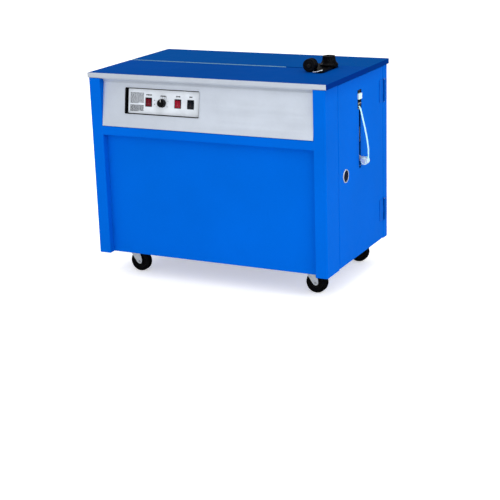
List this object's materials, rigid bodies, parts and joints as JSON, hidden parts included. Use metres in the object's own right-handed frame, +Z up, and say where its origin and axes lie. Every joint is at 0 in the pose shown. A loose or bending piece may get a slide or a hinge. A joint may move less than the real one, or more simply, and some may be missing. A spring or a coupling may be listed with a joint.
{
  "type": "semi automatic strapping machine",
  "caption": "Closed-cabinet strapping machine on casters: slotted work table, sloped control fascia, side door with strap dancer, strap head and reel inside.",
  "frame": {"origin": "on the floor, at the centre of the bounding box's base", "axes": "+X along the table towards the strap outlet and the side door, +Y from the operator's side to the back, +Z up"},
  "size_m": [0.923, 0.565, 0.7804],
  "materials": {
    "cabinet_blue": "semi gloss powder coat",
    "table_blue": "hard wearing gloss paint",
    "fascia_silver": "fine brushed",
    "control_black": "moulded, fine texture",
    "control_white": "smooth overlay",
    "rocker_dark_red": "moulded",
    "rocker_red": "moulded",
    "rocker_black": "moulded",
    "knob_black": "moulded, fine texture",
    "white_plastic": "moulded nylon",
    "strap_white": "embossed polypropylene",
    "zinc_steel": "bright zinc plate",
    "lock_chrome": "polished",
    "wheel_black": "hard rubber",
    "head_iron": "machined casting",
    "polished_steel": "ground",
    "pulley_aluminium": "turned",
    "belt_rubber": "matt",
    "feed_rubber": "ground",
    "motor_grey": "satin",
    "box_grey": "satin",
    "reel_plastic": "moulded"
  },
  "bodies": {
    "cabinet": {"base_pan": "cabinet_blue", "front_frame": "cabinet_blue", "front_lower_panel": "cabinet_blue", "fascia_panel": "fascia_silver", "left_side_panel": "cabinet_blue", "rear_panel": "cabinet_blue", "table_front_plate": "table_blue", "strap_track": "polished_steel", "control_tray": "control_black", "control_plate": "control_white", "power_switch_housing": "control_black", "motor_switch_housing": "control_black", "feed_switch_housing": "control_black", "control_box": "box_grey", "upper_hinge_fixed_leaf": "cabinet_blue", "lower_hinge_fixed_leaf": "cabinet_blue", "outlet_base": "knob_black", "head_frame": "head_iron", "drive_motor": "motor_grey", "drive_belt": "belt_rubber", "reel_stand": "motor_grey", "cable_gland": "control_black", "front_left_caster_plate": "zinc_steel", "front_right_caster_plate": "zinc_steel", "rear_left_caster_plate": "zinc_steel", "rear_right_caster_plate": "zinc_steel"},
    "table_lid": {"table_rear_plate": "table_blue"},
    "door": {"side_door": "cabinet_blue", "lock_housing": "lock_chrome", "upper_hinge_door_leaf": "cabinet_blue", "lower_hinge_door_leaf": "cabinet_blue", "strap_inlet_guide": "white_plastic", "dancer_bracket": "zinc_steel", "strap_loop": "strap_white"},
    "lock": {"lock_cylinder": "knob_black"},
    "dancer": {"dancer_arm": "zinc_steel"},
    "dancer_wheel": {"dancer_roller": "white_plastic"},
    "power_rocker": {"power_switch_rocker": "rocker_dark_red"},
    "motor_rocker": {"motor_switch_rocker": "rocker_red"},
    "feed_rocker": {"feed_switch_rocker": "rocker_black"},
    "length_knob": {"feed_length_knob": "knob_black"},
    "tension_dial": {"tension_knob": "knob_black"},
    "guide_roller": {"outlet_roller": "knob_black"},
    "feed_wheel": {"feed_roller": "feed_rubber"},
    "pinch_wheel": {"pinch_roller": "polished_steel"},
    "left_grip": {"left_gripper": "polished_steel"},
    "press": {"press_block": "polished_steel"},
    "right_grip": {"right_gripper": "polished_steel"},
    "cams": {"camshaft": "polished_steel"},
    "motor_shaft": {"motor_pulley": "pulley_aluminium"},
    "reel": {"strap_reel": "reel_plastic", "strap_coil": "strap_white"},
    "front_left_swivel": {"front_left_caster_fork": "zinc_steel"},
    "front_left_wheel": {"front_left_caster_wheel": "wheel_black"},
    "front_right_swivel": {"front_right_caster_fork": "zinc_steel"},
    "front_right_wheel": {"front_right_caster_wheel": "wheel_black"},
    "rear_left_swivel": {"rear_left_caster_fork": "zinc_steel"},
    "rear_left_wheel": {"rear_left_caster_wheel": "wheel_black"},
    "rear_right_swivel": {"rear_right_caster_fork": "zinc_steel"},
    "rear_right_wheel": {"rear_right_caster_wheel": "wheel_black"}
  },
  "joints": [
    {"name": "door_hinge", "type": "hinge", "parent": "cabinet", "child": "door", "pos_m": [0.435, 0.2315, 0.4], "axis": [0, 0, 1], "range_deg": [0, 110]},
    {"name": "lock_turn", "type": "hinge", "parent": "door", "child": "lock", "pos_m": [0.43, -0.118, 0.4005], "axis": [1, 0, 0], "range_deg": [0, 90]},
    {"name": "dancer_swing", "type": "hinge", "parent": "door", "child": "dancer", "pos_m": [0.2905, 0.013, 0.513], "axis": [0, -1, 0], "range_deg": [0, 57.6], "deforming": ["strap_loop"]},
    {"name": "dancer_roller_spin", "type": "hinge", "parent": "dancer", "child": "dancer_wheel", "pos_m": [0.44867, 0.013, 0.42604], "axis": [0, 1, 0], "continuous": true},
    {"name": "table_lid_hinge", "type": "hinge", "parent": "cabinet", "child": "table_lid", "pos_m": [-0.014, 0.277, 0.712], "axis": [-1, 0, 0], "range_deg": [0, 80]},
    {"name": "power_switch_rock", "type": "hinge", "parent": "cabinet", "child": "power_rocker", "pos_m": [-0.238, -0.2518, 0.63787], "axis": [-1, 0, 0], "range_deg": [0, 20]},
    {"name": "motor_switch_rock", "type": "hinge", "parent": "cabinet", "child": "motor_rocker", "pos_m": [-0.124, -0.2518, 0.63787], "axis": [-1, 0, 0], "range_deg": [0, 20]},
    {"name": "feed_switch_rock", "type": "hinge", "parent": "cabinet", "child": "feed_rocker", "pos_m": [-0.0745, -0.2518, 0.63787], "axis": [-1, 0, 0], "range_deg": [0, 20]},
    {"name": "feed_length_turn", "type": "hinge", "parent": "cabinet", "child": "length_knob", "pos_m": [-0.1847, -0.25413, 0.63723], "axis": [0, -0.9873, 0.1588], "range_deg": [-150, 150]},
    {"name": "tension_turn", "type": "hinge", "parent": "cabinet", "child": "tension_dial", "pos_m": [0.309, 0.037, 0.758], "axis": [0, 0, 1], "range_deg": [-135, 135]},
    {"name": "outlet_roller_spin", "type": "hinge", "parent": "cabinet", "child": "guide_roller", "pos_m": [0.284, -0.062, 0.7582], "axis": [0, 1, 0], "continuous": true},
    {"name": "feed_roller_spin", "type": "hinge", "parent": "cabinet", "child": "feed_wheel", "pos_m": [0.28825, 0.01, 0.68], "axis": [0, 1, 0], "continuous": true},
    {"name": "pinch_roller_spin", "type": "hinge", "parent": "cabinet", "child": "pinch_wheel", "pos_m": [0.25575, 0.01, 0.68], "axis": [0, 1, 0], "continuous": true},
    {"name": "left_gripper_lift", "type": "slide", "parent": "cabinet", "child": "left_grip", "axis": [0, 0, 1], "range_m": [0, 0.006]},
    {"name": "press_block_lift", "type": "slide", "parent": "cabinet", "child": "press", "axis": [0, 0, 1], "range_m": [0, 0.006]},
    {"name": "right_gripper_lift", "type": "slide", "parent": "cabinet", "child": "right_grip", "axis": [0, 0, 1], "range_m": [0, 0.006]},
    {"name": "camshaft_spin", "type": "hinge", "parent": "cabinet", "child": "cams", "pos_m": [0.186, 0.01, 0.633], "axis": [1, 0, 0], "continuous": true},
    {"name": "motor_spin", "type": "hinge", "parent": "cabinet", "child": "motor_shaft", "pos_m": [0.131, 0.11, 0.64], "axis": [1, 0, 0], "continuous": true},
    {"name": "reel_spin", "type": "hinge", "parent": "cabinet", "child": "reel", "pos_m": [-0.204, 0, 0.315], "axis": [0, 1, 0], "continuous": true},
    {"name": "front_left_swivel_turn", "type": "hinge", "parent": "cabinet", "child": "front_left_swivel", "pos_m": [-0.374, -0.175, 0.09], "axis": [0, 0, 1], "continuous": true},
    {"name": "front_left_wheel_spin", "type": "hinge", "parent": "front_left_swivel", "child": "front_left_wheel", "pos_m": [-0.35, -0.175, 0.0375], "axis": [0, 1, 0], "continuous": true},
    {"name": "front_right_swivel_turn", "type": "hinge", "parent": "cabinet", "child": "front_right_swivel", "pos_m": [0.322, -0.175, 0.09], "axis": [0, 0, 1], "continuous": true},
    {"name": "front_right_wheel_spin", "type": "hinge", "parent": "front_right_swivel", "child": "front_right_wheel", "pos_m": [0.346, -0.175, 0.0375], "axis": [0, 1, 0], "continuous": true},
    {"name": "rear_left_swivel_turn", "type": "hinge", "parent": "cabinet", "child": "rear_left_swivel", "pos_m": [-0.374, 0.205, 0.09], "axis": [0, 0, 1], "continuous": true},
    {"name": "rear_left_wheel_spin", "type": "hinge", "parent": "rear_left_swivel", "child": "rear_left_wheel", "pos_m": [-0.35, 0.205, 0.0375], "axis": [0, 1, 0], "continuous": true},
    {"name": "rear_right_swivel_turn", "type": "hinge", "parent": "cabinet", "child": "rear_right_swivel", "pos_m": [0.322, 0.205, 0.09], "axis": [0, 0, 1], "continuous": true},
    {"name": "rear_right_wheel_spin", "type": "hinge", "parent": "rear_right_swivel", "child": "rear_right_wheel", "pos_m": [0.346, 0.205, 0.0375], "axis": [0, 1, 0], "continuous": true}
  ],
  "couplings": [
    {"joint": "motor_spin", "follows": "camshaft_spin", "ratio": 2},
    {"joint": "feed_roller_spin", "follows": "pinch_roller_spin", "ratio": -0.6}
  ]
}
